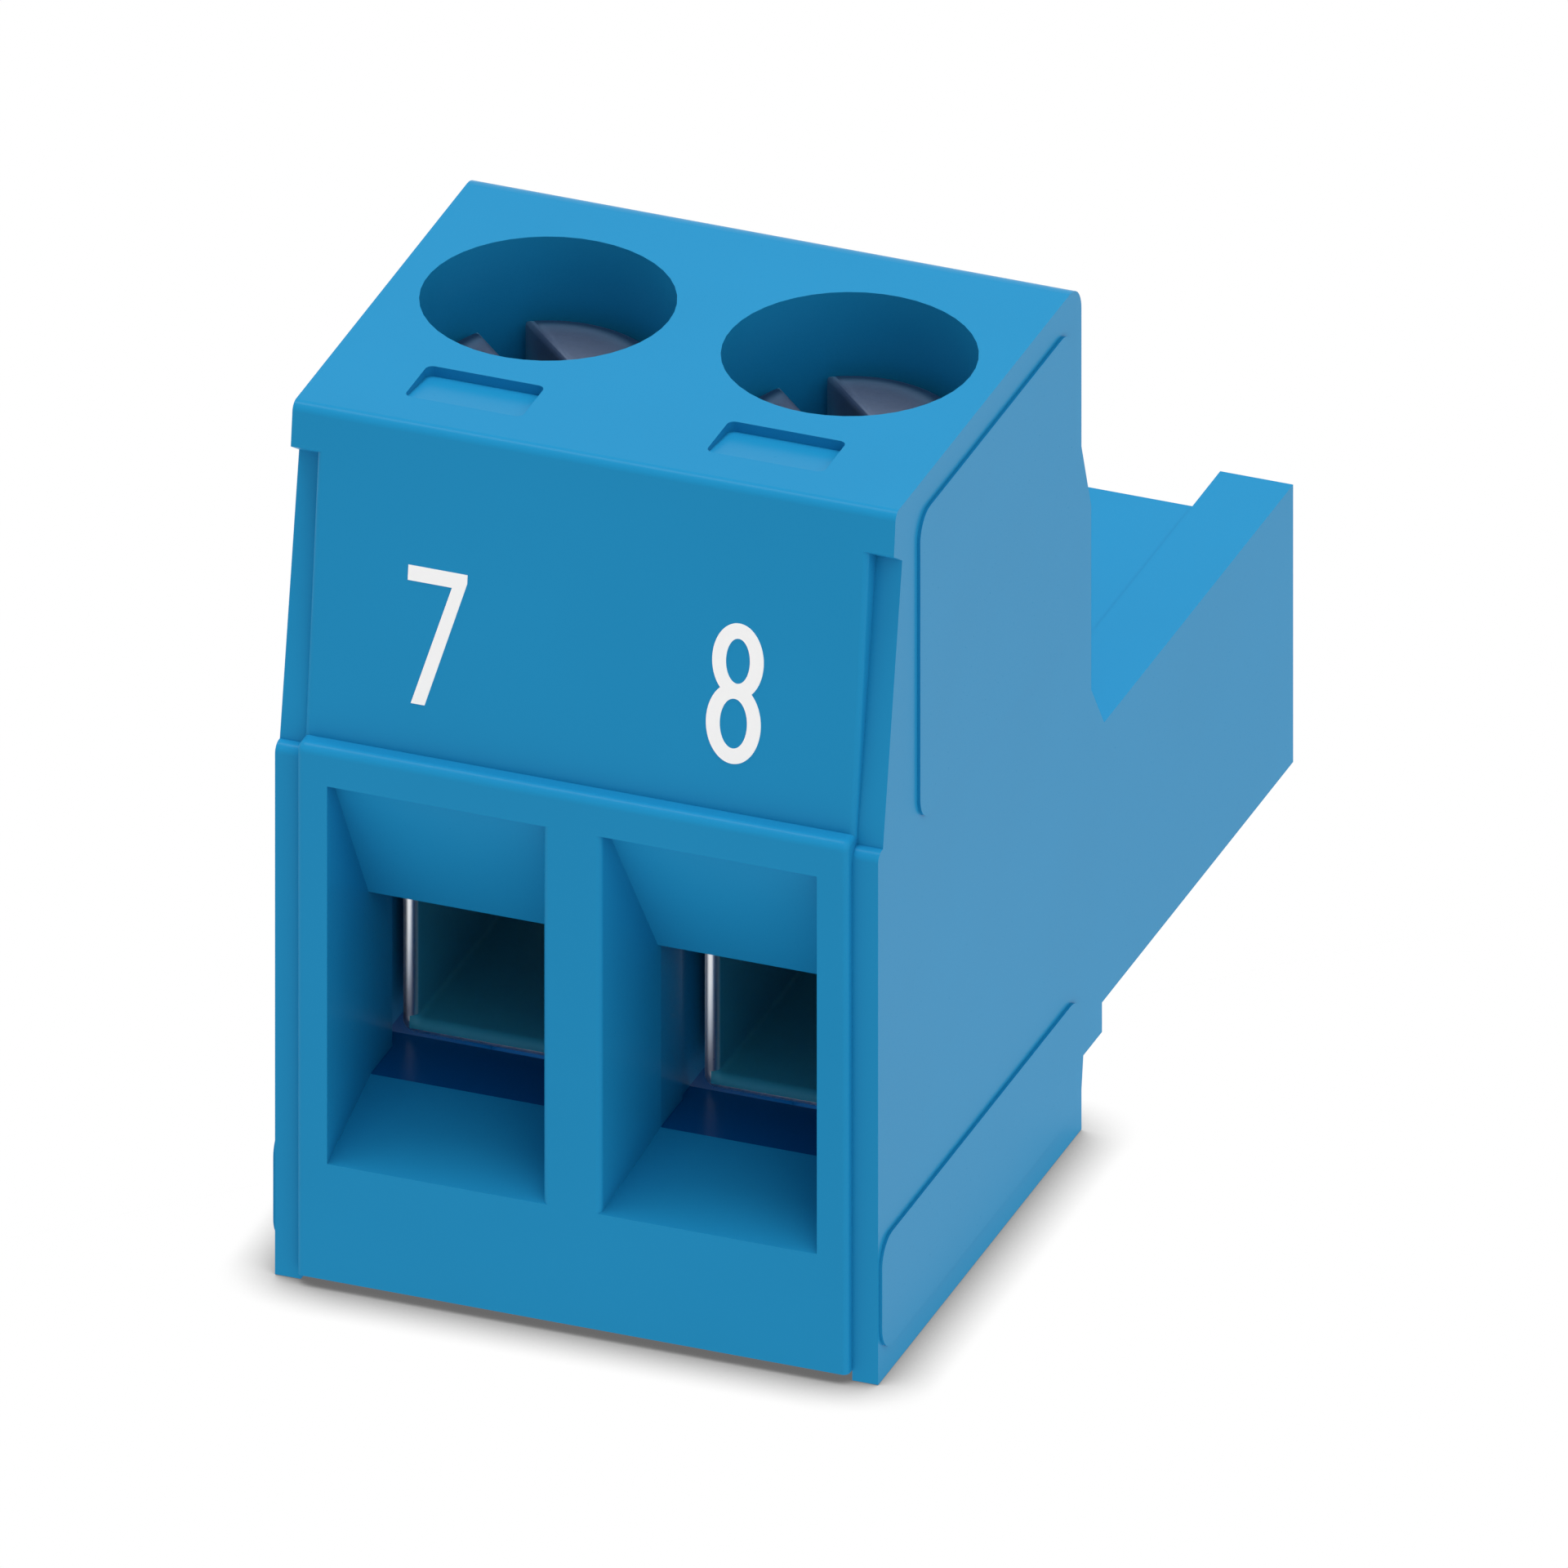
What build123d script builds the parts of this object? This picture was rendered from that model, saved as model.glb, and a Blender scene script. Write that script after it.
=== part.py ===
from build123d import *
import os
from math import radians, tan

os.makedirs("parts", exist_ok=True)

# A two-pole pluggable screw terminal block, in millimetres.
# X runs across the poles, Y from the wire side to the plug nose, Z up, from the part's bottom centre.

# Overall sizes of the moulded body
pole_pitch = 5.0
body_height = 15.0
body_depth = 8.82
nose_length = 9.18

# Front face: a proud middle panel between two narrow end strips, both leaning back above a ledge
panel_proud = 0.20
strip_width = 0.43
strip_ledge_height = 9.36
strip_ledge_depth = 0.21
strip_lean = 10.15
strip_top_drop = 0.97
panel_ledge_height = 9.56
panel_ledge_depth = 0.33
panel_lean = 6.71
panel_foot_gap = 0.18
panel_root = 1.50
lip_height = 0.73
ledge_round = 0.16
flank_round = 0.10
top_front_round = 0.16
top_back_round = 0.50

# Back face: a shoulder that thickens the wall over the nose, and a heel under the nose
shoulder_height = 12.06
neck_height = 10.80
neck_depth = 0.42
neck_foot_height = 7.55
nose_top_height = 6.68
nose_root_depth = 0.98
nose_bottom_height = 1.78
heel_depth = 0.89
heel_height = 1.26
heel_draft = 0.08
heel_draft_height = 0.70

# Plug nose: two end ears reach past the mating face, and the top between them lies a little lower
ear_width = 1.21
ear_reach = 1.14
ear_step = 0.04
nose_wall = 0.72
socket_lead_in = 0.20
socket_lead_in_angle = 45.0

# Raised pads on the end faces, which touch the neighbouring block
pad_proud = 0.05
pad_round = 0.45
upper_pad_start = 1.70
upper_pad_end = 8.30
upper_pad_bottom = 9.02
upper_pad_top_gap = 0.55
lower_pad_start = 0.05
lower_pad_end = 8.68
lower_pad_bottom = 0.50
lower_pad_top = 2.48

# Marker pockets in the top face, deeper at the back
pocket_width = 1.95
pocket_start = 1.60
pocket_end = 2.65
pocket_front_depth = 0.06
pocket_back_depth = 0.18
pocket_round = 0.12

# Wire entries: a funnel whose ceiling slopes down to a square throat in front of the clamp
end_wall = 0.94
mullion_width = 0.95
mullion_root_width = 1.50
mullion_round = 0.10
mouth_bottom = 2.23
mouth_top = 8.90
mouth_flat = 0.23
throat_top = 6.12
throat_ceiling_start = 1.60
throat_floor_start = 1.70
sill_height = 2.85
chamber_start = 2.63
well_start = 3.10

# Clamp cage of one pole: a sheet sleeve, open to front and back, with a threaded collar on top
screw_setback = 5.31
cage_width = 3.20
cage_depth = 4.20
cage_sheet = 0.20
cage_outer_round = 0.20
cage_inner_round = 0.08
cage_mouth_round = 0.16
collar_height = 1.60
clamp_opening = 3.16
clamp_end_gap = 0.16
cage_side_clearance = 0.20
cage_back_clearance = 0.14
cage_top_clearance = 0.10
bar_clearance = 0.05

# Clamp screw of one pole: a slotted cheese head over a plain shank, whose thread is left plain
thread_radius = 1.25
shank_clearance = 0.05
shank_chamfer = 0.25
web_thickness = 0.50
web_hole_clearance = 0.10
head_radius = 1.80
head_height = 1.60
head_rim_round = 0.22
head_seat_clearance = 0.05
head_bore_clearance = 0.20
slot_width = 0.80
slot_depth = 1.00
slot_angle = -45.0

# Contact of one pole: the clamping bar, bent down behind the cage into a two-leaf fork for a square pin
bar_thickness = 0.60
bar_setback = 0.30
bend_round = 0.20
contact_width = 2.30
contact_clearance = 0.05
leaf_thickness = 0.40
leaf_clearance = 0.10
leaf_straight = 3.00
leaf_tip_setback = 0.45
leaf_flare_length = 0.90
leaf_flare = 0.30
pin_grip = 0.90

# How far a cutting shape runs past the face that it opens
cut_margin = 0.50

# Places worked out from the sizes, side to side and front to back
half_width = pole_pitch
panel_half_width = half_width - strip_width
front_y = panel_proud - (panel_proud + body_depth + nose_length) / 2
panel_y = front_y - panel_proud
back_y = front_y + body_depth
nose_end_y = back_y + nose_length
nose_root_y = back_y + nose_root_depth
mating_y = nose_end_y - ear_reach
screw_y = front_y + screw_setback
cage_front_y = screw_y - cage_depth / 2
chamber_front_y = front_y + chamber_start
chamber_back_y = screw_y + cage_depth / 2 + cage_back_clearance

# Places worked out from the sizes, bottom to top
lip_bottom = body_height - lip_height
strip_top_height = body_height - strip_top_drop
upper_pad_top = body_height - upper_pad_top_gap
cage_bottom = sill_height
bar_bottom = cage_bottom + cage_sheet + clamp_opening
bar_top = bar_bottom + bar_thickness
collar_bottom = bar_top + bar_clearance
collar_top = collar_bottom + collar_height
cage_travel = clamp_opening - clamp_end_gap
chamber_top = collar_top + cage_travel + cage_top_clearance
web_top = chamber_top + web_thickness
head_bottom = web_top + head_seat_clearance
head_top = head_bottom + head_height
screw_tip = bar_top + bar_clearance
shank_radius = thread_radius - shank_clearance
bore_radius = head_radius + head_bore_clearance
web_hole_radius = thread_radius + web_hole_clearance
chamber_half_width = cage_width / 2 + cage_side_clearance

# Places worked out from the sizes, for the contact in the nose
stem_y = chamber_back_y + contact_clearance + bar_thickness / 2
stem_back_y = stem_y + bar_thickness / 2
socket_bottom = nose_bottom_height + nose_wall
socket_top = nose_top_height - nose_wall
pin_height = (socket_bottom + socket_top) / 2
socket_half_width = contact_width / 2 + contact_clearance
leaf_root_offset = (socket_top - socket_bottom) / 2 - leaf_clearance - leaf_thickness / 2
leaf_grip_offset = (pin_grip + leaf_thickness) / 2
leaf_tip_y = mating_y - leaf_tip_setback
leaf_grip_y = leaf_tip_y - leaf_flare_length
leaf_bend_y = stem_back_y + leaf_straight


def panel_lean_y(height):
    """Front of the leaning upper panel at a height."""
    return panel_y + panel_ledge_depth + (height - panel_ledge_height) * tan(radians(panel_lean))


def strip_lean_y(height):
    """Front of the leaning upper end strip at a height."""
    return front_y + strip_ledge_depth + (height - strip_ledge_height) * tan(radians(strip_lean))


def corner(sketch, across, up):
    """The sketch's vertex nearest to a point of its own plane."""
    return sketch.vertices().sort_by_distance((across, up, 0))[0]


# Side outline of the whole moulding, cut through the end strips, with the lip that crosses them on top
with BuildPart() as body:
    with BuildSketch(Plane.YZ) as side_outline:
        with BuildLine():
            Polyline(
                (front_y, 0),
                (front_y, strip_ledge_height),
                (front_y + strip_ledge_depth, strip_ledge_height),
                (strip_lean_y(strip_top_height), strip_top_height),
                (panel_lean_y(lip_bottom), lip_bottom),
                (panel_lean_y(body_height), body_height),
                (back_y, body_height),
                (back_y, shoulder_height),
                (back_y + neck_depth, neck_height),
                (back_y + neck_depth, neck_foot_height),
                (nose_root_y, nose_top_height),
                (nose_end_y, nose_top_height),
                (nose_end_y, nose_bottom_height),
                (back_y + heel_depth, nose_bottom_height),
                (back_y + heel_depth, heel_height),
                (back_y + heel_draft, heel_height),
                (back_y, heel_draft_height),
                (back_y, 0),
                close=True,
            )
        make_face()
        fillet(corner(side_outline, front_y, strip_ledge_height), ledge_round)
        fillet(corner(side_outline, panel_lean_y(body_height), body_height), top_front_round)
        fillet(corner(side_outline, back_y, body_height), top_back_round)
    extrude(amount=half_width, both=True)


def on_front_flank(edge):
    """True for the edges that run up the panel's two flanks, from the foot to the lip."""
    middle = edge.center()
    at_flank = abs(middle.X) > panel_half_width - flank_round
    in_front = middle.Y < front_y + panel_root / 2
    return at_flank and in_front and middle.Z > 0


# The proud middle panel, with rounded flanks where it stands out of the end strips
with BuildPart() as front_panel:
    with BuildSketch(Plane.YZ) as panel_outline:
        with BuildLine():
            Polyline(
                (panel_y, 0),
                (panel_y, panel_ledge_height),
                (panel_y + panel_ledge_depth, panel_ledge_height),
                (panel_lean_y(lip_bottom), lip_bottom),
                (front_y + panel_root, lip_bottom),
                (front_y + panel_root, 0),
                close=True,
            )
        make_face()
        fillet(corner(panel_outline, panel_y, panel_ledge_height), ledge_round)
    extrude(amount=panel_half_width, both=True)
    fillet(front_panel.edges().filter_by(on_front_flank), flank_round)


def wire_entry(side):
    """The space of one wire entry: a side view of the funnel crossed with its plan."""
    with BuildPart() as entry:
        with BuildSketch(Plane.YZ):
            with BuildLine():
                Polyline(
                    (panel_y - cut_margin, mouth_bottom),
                    (panel_y, mouth_bottom),
                    (front_y + throat_floor_start, sill_height),
                    (chamber_front_y, sill_height),
                    (chamber_front_y, throat_top),
                    (front_y + throat_ceiling_start, throat_top),
                    (panel_y + mouth_flat, mouth_top),
                    (panel_y - cut_margin, mouth_top),
                    close=True,
                )
            make_face()
        extrude(amount=side * half_width)
        with BuildSketch(Plane.XY):
            with BuildLine():
                Polyline(
                    (side * mullion_width / 2, panel_y - cut_margin),
                    (side * mullion_width / 2, panel_y),
                    (side * mullion_root_width / 2, front_y + throat_floor_start),
                    (side * mullion_root_width / 2, chamber_front_y),
                    (side * (half_width - end_wall), chamber_front_y),
                    (side * (half_width - end_wall), panel_y - cut_margin),
                    close=True,
                )
            make_face()
        extrude(amount=body_height, mode=Mode.INTERSECT)
    return entry.part


def clamp_space(pole_x):
    """The space for one clamp: well under the cage, chamber, screw hole and screw bore."""
    with BuildPart() as space:
        with BuildSketch(Plane.XY.offset(sill_height)):
            with Locations((pole_x, (chamber_front_y + chamber_back_y) / 2)):
                Rectangle(2 * chamber_half_width, chamber_back_y - chamber_front_y)
        extrude(amount=chamber_top - sill_height)
        with BuildSketch(Plane.XY.offset(-cut_margin)):
            with Locations((pole_x, (front_y + well_start + chamber_back_y) / 2)):
                Rectangle(2 * chamber_half_width, chamber_back_y - front_y - well_start)
        extrude(amount=sill_height + cut_margin)
        with BuildSketch(Plane.XY.offset(chamber_top)):
            with Locations((pole_x, screw_y)):
                Circle(web_hole_radius)
        extrude(amount=web_thickness)
        with BuildSketch(Plane.XY.offset(web_top)):
            with Locations((pole_x, screw_y)):
                Circle(bore_radius)
        extrude(amount=body_height + cut_margin - web_top)
    return space.part


def contact_space(pole_x):
    """The space for one contact: a passage behind the clamp and a square socket to the mating face."""
    socket_height = socket_top - socket_bottom
    with BuildPart() as space:
        with BuildSketch(Plane.XZ.offset(-mating_y)):
            with Locations((pole_x, pin_height)):
                Rectangle(2 * socket_half_width, socket_height)
        extrude(amount=mating_y - chamber_back_y)
        with BuildSketch(Plane.XZ.offset(-mating_y)):
            with Locations((pole_x, pin_height)):
                Rectangle(2 * (socket_half_width + socket_lead_in), socket_height + 2 * socket_lead_in)
        extrude(amount=socket_lead_in, taper=socket_lead_in_angle)
        with BuildSketch(Plane.XZ.offset(-chamber_back_y)):
            with Locations((pole_x, (socket_bottom + bar_top + contact_clearance) / 2)):
                Rectangle(2 * socket_half_width, bar_top + contact_clearance - socket_bottom)
        extrude(amount=chamber_back_y - stem_back_y - contact_clearance)
    return space.part


def marker_pocket(pole_x):
    """The shallow pocket in front of a screw bore, whose floor falls towards the back."""
    with BuildPart() as pocket:
        with BuildSketch(Plane.YZ.offset(pole_x)):
            with BuildLine():
                Polyline(
                    (front_y + pocket_start, body_height - pocket_front_depth),
                    (front_y + pocket_end, body_height - pocket_back_depth),
                    (front_y + pocket_end, body_height + cut_margin),
                    (front_y + pocket_start, body_height + cut_margin),
                    close=True,
                )
            make_face()
        extrude(amount=pocket_width / 2, both=True)
        fillet(pocket.edges().filter_by(Axis.Z), pocket_round)
    return pocket.part


def end_pads(side):
    """The two flat pads that stand out of one end face."""
    with BuildPart() as pads:
        for start, end, bottom, top in (
            (upper_pad_start, upper_pad_end, upper_pad_bottom, upper_pad_top),
            (lower_pad_start, lower_pad_end, lower_pad_bottom, lower_pad_top),
        ):
            with BuildSketch(Plane.YZ.offset(side * half_width)):
                with Locations((front_y + (start + end) / 2, (bottom + top) / 2)):
                    RectangleRounded(end - start, top - bottom, pad_round)
            extrude(amount=side * pad_proud)
    return pads.part


# The housing: body and panel joined, then hollowed for each pole
with BuildPart() as housing:
    add(body.part)
    add(front_panel.part)
    # The underside between the end walls stands clear of the board
    with BuildSketch(Plane.XY):
        with Locations((0, (panel_y + back_y) / 2)):
            Rectangle(2 * panel_half_width, back_y - panel_y + 2 * cut_margin)
    extrude(amount=panel_foot_gap, mode=Mode.SUBTRACT)
    # Between the ears the nose ends at the mating face
    with BuildSketch(Plane.XY.offset(nose_bottom_height - cut_margin)):
        with Locations((0, (mating_y + nose_end_y + cut_margin) / 2)):
            Rectangle(2 * (half_width - ear_width), ear_reach + cut_margin)
    extrude(amount=nose_top_height - nose_bottom_height + 2 * cut_margin, mode=Mode.SUBTRACT)
    with BuildSketch(Plane.XY.offset(nose_top_height - ear_step)):
        with Locations((0, (nose_root_y + mating_y) / 2)):
            Rectangle(2 * (half_width - ear_width), mating_y - nose_root_y)
    extrude(amount=ear_step + cut_margin, mode=Mode.SUBTRACT)
    for side in (-1, 1):
        pole_x = side * pole_pitch / 2
        add(wire_entry(side), mode=Mode.SUBTRACT)
        add(clamp_space(pole_x), mode=Mode.SUBTRACT)
        add(contact_space(pole_x), mode=Mode.SUBTRACT)
        add(marker_pocket(pole_x), mode=Mode.SUBTRACT)
        add(end_pads(side))
        mullion_middle = (side * mullion_width / 2, panel_y, (mouth_bottom + mouth_top) / 2)
        fillet(housing.edges().sort_by_distance(mullion_middle)[0], mullion_round)

housing.part.label = "housing"
export_step(housing.part, "parts/housing.step")


def clamp_screw(pole_x):
    """A turned cheese-head screw with a driver slot."""
    foot = Plane(origin=(pole_x, screw_y, 0), x_dir=(1, 0, 0), z_dir=(0, -1, 0))
    with BuildPart() as screw:
        with BuildSketch(foot) as half_profile:
            with BuildLine():
                Polyline(
                    (0, screw_tip),
                    (shank_radius, screw_tip),
                    (shank_radius, head_bottom),
                    (head_radius, head_bottom),
                    (head_radius, head_top),
                    (0, head_top),
                    close=True,
                )
            make_face()
            chamfer(corner(half_profile, shank_radius, screw_tip), shank_chamfer)
            fillet(corner(half_profile, head_radius, head_top), head_rim_round)
        revolve(axis=Axis((pole_x, screw_y, 0), (0, 0, 1)))
        with BuildSketch(Plane((pole_x, screw_y, head_top)).rotated((0, 0, slot_angle))):
            Rectangle(2 * head_radius + cut_margin, slot_width)
        extrude(amount=-slot_depth, mode=Mode.SUBTRACT)
    return screw.part


def clamp_cage(pole_x):
    """A sheet sleeve round the wire space, its mouth rounded inside, with a threaded collar on top."""
    cage_height = collar_top - cage_bottom
    opening_height = collar_bottom - cage_bottom - cage_sheet
    with BuildPart() as cage:
        with BuildSketch(Plane.XZ.offset(-cage_front_y)) as ring:
            with Locations((pole_x, cage_bottom + cage_height / 2)):
                RectangleRounded(cage_width, cage_height, cage_outer_round)
            with Locations((pole_x, cage_bottom + cage_sheet + opening_height / 2)):
                RectangleRounded(
                    cage_width - 2 * cage_sheet, opening_height, cage_inner_round, mode=Mode.SUBTRACT
                )
        extrude(amount=-cage_depth)
        fillet(cage.faces().sort_by(Axis.Y)[0].inner_wires().edges(), cage_mouth_round)
        with BuildSketch(Plane.XY.offset(collar_bottom)):
            with Locations((pole_x, screw_y)):
                Circle(thread_radius)
        extrude(amount=collar_height, mode=Mode.SUBTRACT)
    return cage.part


def contact(pole_x):
    """The clamping bar, its stem down into the nose and the two leaves that grip a header pin."""
    stem_foot = pin_height - leaf_root_offset - leaf_thickness / 2
    with BuildPart() as strip:
        with BuildSketch(Plane.YZ.offset(pole_x)) as profile:
            with BuildLine():
                Polyline(
                    (cage_front_y + bar_setback, bar_bottom),
                    (cage_front_y + bar_setback, bar_top),
                    (stem_back_y, bar_top),
                    (stem_back_y, stem_foot),
                    (stem_back_y - bar_thickness, stem_foot),
                    (stem_back_y - bar_thickness, bar_bottom),
                    close=True,
                )
            make_face()
            fillet(corner(profile, stem_back_y, bar_top), bend_round + bar_thickness)
            fillet(corner(profile, stem_back_y - bar_thickness, bar_bottom), bend_round)
            for direction in (-1, 1):
                with BuildLine():
                    Polyline(
                        (stem_y, pin_height + direction * leaf_root_offset),
                        (leaf_bend_y, pin_height + direction * leaf_root_offset),
                        (leaf_grip_y, pin_height + direction * leaf_grip_offset),
                        (leaf_tip_y, pin_height + direction * (leaf_grip_offset + leaf_flare)),
                    )
                trace(line_width=leaf_thickness)
        extrude(amount=contact_width / 2, both=True)
    return strip.part


for name, pole_x in (("left", -pole_pitch / 2), ("right", pole_pitch / 2)):
    for piece, solid in (
        ("screw", clamp_screw(pole_x)),
        ("cage", clamp_cage(pole_x)),
        ("contact", contact(pole_x)),
    ):
        solid.label = f"{piece}_{name}"
        export_step(solid, f"parts/{piece}_{name}.step")
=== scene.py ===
from math import cos, pi, radians, sin, tan

import bmesh
import bpy
from bpy.props import FloatProperty, FloatVectorProperty, IntProperty, PointerProperty
from mathutils import Matrix, Vector


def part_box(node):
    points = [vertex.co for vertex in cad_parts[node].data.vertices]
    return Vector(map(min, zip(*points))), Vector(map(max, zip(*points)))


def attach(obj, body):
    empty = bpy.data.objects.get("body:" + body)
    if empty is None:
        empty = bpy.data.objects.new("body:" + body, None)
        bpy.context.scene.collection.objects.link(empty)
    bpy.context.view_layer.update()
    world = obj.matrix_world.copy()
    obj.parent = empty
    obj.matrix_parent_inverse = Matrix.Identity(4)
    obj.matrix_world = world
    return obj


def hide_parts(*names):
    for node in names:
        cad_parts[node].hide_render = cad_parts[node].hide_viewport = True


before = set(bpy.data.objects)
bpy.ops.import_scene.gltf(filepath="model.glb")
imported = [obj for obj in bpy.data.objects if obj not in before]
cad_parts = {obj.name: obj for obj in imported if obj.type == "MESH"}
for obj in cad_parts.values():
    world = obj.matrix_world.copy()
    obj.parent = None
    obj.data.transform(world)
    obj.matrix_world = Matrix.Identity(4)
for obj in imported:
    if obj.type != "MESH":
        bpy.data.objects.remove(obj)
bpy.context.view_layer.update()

bl_info = {
    "name": "Pluggable terminal block",
    "version": (1, 0, 0),
    "blender": (4, 5, 0),
    "location": "View3D > Sidebar > Terminal Block",
    "description": "Dresses the solids of a two-pole pluggable screw terminal block",
    "category": "Object",
}

MM = 0.001
SIDES = ("left", "right")
# Thickness of the cages' sheet
SHEET = 0.2 * MM
# Lowest and highest corner of the space that holds the right wire entry's level sill and the
# well behind it, which get a navy painted shade. The left one mirrors it.
SILL_SHADE_LOW = (0.6 * MM, -7.2 * MM, 0.19 * MM)
SILL_SHADE_HIGH = (4.4 * MM, -1.0 * MM, 2.87 * MM)
# Two faces of a new piece that meet at more than this have a sharp edge between them
SHARP_ANGLE = radians(35)
# A Mix node's sockets share their names, so its two colours and its result go by their numbers
COLOUR_A, COLOUR_B, MIXED = 6, 7, 2


def linear(code):
    """Turns an sRGB hex colour into Blender's linear one."""
    shares = [int(code[i:i + 2], 16) / 255 for i in (0, 2, 4)]
    return tuple(s / 12.92 if s <= 0.04045 else ((s + 0.055) / 1.055) ** 2.4 for s in shares)


def length(name, description, millimetres):
    """A size in a property group, written in millimetres."""
    return FloatProperty(
        name=name, description=description, default=millimetres * MM, min=0.0,
        precision=5, subtype="DISTANCE", unit="LENGTH",
    )


def turn(name, description, degrees):
    """An angle in a property group, written in degrees."""
    return FloatProperty(
        name=name, description=description, default=radians(degrees),
        subtype="ANGLE", unit="ROTATION",
    )


def colour(name, description, code):
    """A colour in a property group, written as an sRGB hex code."""
    return FloatVectorProperty(
        name=name, description=description, default=linear(code),
        size=3, min=0.0, max=1.0, subtype="COLOR",
    )


class ClampScrewSizes(bpy.types.PropertyGroup):
    """Sizes of one slotted clamp screw"""

    head_height: length("Head height", "From the underside of the head to its top", 1.6)
    crown_width: length("Crown width", "How far the top curves down before the rim", 0.37)
    crown_drop: length("Crown drop", "How far the top curves down at the rim", 0.11)
    foot_round: length("Foot round", "Radius of the head's lower rim", 0.06)
    slot_width: length("Slot width", "Width of the driver slot", 0.8)
    slot_depth: length("Slot depth", "Depth of the driver slot", 1.0)
    slot_lip_round: length("Slot lip round", "Radius of the slot's upper edges", 0.16)
    slot_turn: turn("Slot turn", "How far the slot is turned from the X axis", -45.0)
    thread_radius: length("Thread radius", "Radius over the crests of the thread", 1.2)
    thread_depth: length("Thread depth", "From the crests of the thread to its root", 0.25)
    thread_pitch: length("Thread pitch", "From one crest of the thread to the next", 0.45)
    tip_chamfer: length("Tip chamfer", "Chamfer on the end of the thread", 0.25)
    steps: IntProperty(
        name="Steps", description="Steps in one full turn of the screw", default=96, min=24,
    )


class PoleNumberSizes(bpy.types.PropertyGroup):
    """Sizes and place of the two printed pole numbers"""

    panel_lean: turn("Panel lean", "How far the upper front panel leans back", 6.71)
    ledge_height: length("Ledge height", "Height of the ledge below the leaning panel", 9.56)
    ledge_depth: length("Ledge depth", "How far the panel starts behind the front face", 0.33)
    print_start: length("Print start", "Height of the numbers' foot above the floor", 10.4)
    height: length("Height", "Height of a number, measured up the panel", 2.296)
    width: length("Width", "Width of the seven", 0.98)
    bar: length("Bar", "Thickness of the level strokes", 0.255)
    stem: length("Stem", "Width of the upright strokes", 0.228)
    ink: length("Ink", "Thickness of the printed ink", 0.008)
    offset: length("Offset", "How far the numbers stand right of their bores' axes", 0.015)


class FinishColours(bpy.types.PropertyGroup):
    """Colours of the five finishes, and the painted shade of their hollows"""

    moulding: colour("Moulding", "Blue polyamide of the housing", "1F8CBF")
    # The deep colour is a painted shade for the moulding's narrow hollows
    moulding_hollow_shade: colour("Moulding, deep", "The same in its narrow hollows", "006092")
    # A navy painted shade for the sills and their wells
    moulding_sill_shade: colour("Moulding, sill", "The same on the sills and in their wells", "00508C")
    zinc: colour("Zinc", "Plating of the clamp screws", "6A788F")
    # Painted reflection of the bore's blue wall, for the driver slot
    zinc_slot_reflection: colour("Zinc, deep", "The same in the driver slot", "2E7896")
    # Painted reflection of the dark gap round the head
    zinc_rim_shade: colour("Zinc, rim", "The same round the head, beside the wall of the bore", "1C3450")
    nickel: colour("Nickel", "Plating of the clamp cages", "F0F0F2")
    # Painted shade and reflection of the blue walls inside the sleeve
    nickel_inside_shade: colour("Nickel, deep", "The same inside the sleeve", "3CD2FF")
    tin: colour("Tin", "Plating of the contacts", "C9C9C4")
    # A teal painted shade for the contacts where blue walls shut them in
    tin_hollow_shade: colour("Tin, deep", "The same behind the clamps and in the sockets", "3C88A6")
    ink: colour("Ink", "White print of the pole numbers", "FFFFFF")


def add_node(tree, kind, inputs=None, **settings):
    """Adds a node, sets its settings, and links or sets its inputs by name or number."""
    node = tree.nodes.new(kind)
    for name, value in settings.items():
        setattr(node, name, value)
    for key, value in (inputs or {}).items():
        if isinstance(value, bpy.types.NodeSocket):
            tree.links.new(value, node.inputs[key])
        else:
            node.inputs[key].default_value = value
    return node


def new_material(name):
    """A material with an empty node tree and its output node."""
    material = bpy.data.materials.new(name)
    material.use_nodes = True
    material.node_tree.nodes.clear()
    return material, material.node_tree, material.node_tree.nodes.new("ShaderNodeOutputMaterial")


def per_size(size):
    """The scale of a noise or cell pattern whose features are about that many metres across."""
    return 1.0 / size


def rings_per_size(spacing):
    """The scale of a wave pattern whose bands are that many metres apart."""
    radians_per_metre = 20  # at a scale of 1
    return 2 * pi / (radians_per_metre * spacing)


def opaque(rgb):
    """A colour socket's value."""
    return (*rgb, 1.0)


def shades(rgb, spread):
    """A colour a little darker and a little lighter, as the values of two colour sockets."""
    return [opaque(min(1.0, c * (1 + change)) for c in rgb) for change in (-spread, spread)]


def inside_box(tree, place, low, high):
    """One inside the box between a lowest and a highest corner, nought outside it."""
    at = add_node(tree, "ShaderNodeSeparateXYZ", {"Vector": place})
    along_x, along_y, along_z = (
        add_node(tree, "ShaderNodeMath", {
            0: at.outputs[i], 1: (low[i] + high[i]) / 2, 2: (high[i] - low[i]) / 2,
        }, operation="COMPARE")
        for i in range(3)
    )
    level = add_node(tree, "ShaderNodeMath", {
        0: along_x.outputs[0], 1: along_y.outputs[0],
    }, operation="MULTIPLY")
    return add_node(tree, "ShaderNodeMath", {
        0: level.outputs[0], 1: along_z.outputs[0],
    }, operation="MULTIPLY").outputs[0]


def how_open(tree, reach, hidden, exposed, alone=True):
    """One where a surface is open within that reach, nought in narrow hollows. It goes by the
    share of directions that nothing blocks: hidden gives nought and exposed one. Where the piece
    is taken alone, its neighbours and the floor block none."""
    near = add_node(tree, "ShaderNodeAmbientOcclusion", {
        "Distance": reach,
    }, samples=4, only_local=alone)
    spread = add_node(tree, "ShaderNodeMapRange", {
        "Value": near.outputs["AO"], "From Min": hidden, "From Max": exposed,
    })
    return spread.outputs["Result"]


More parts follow.
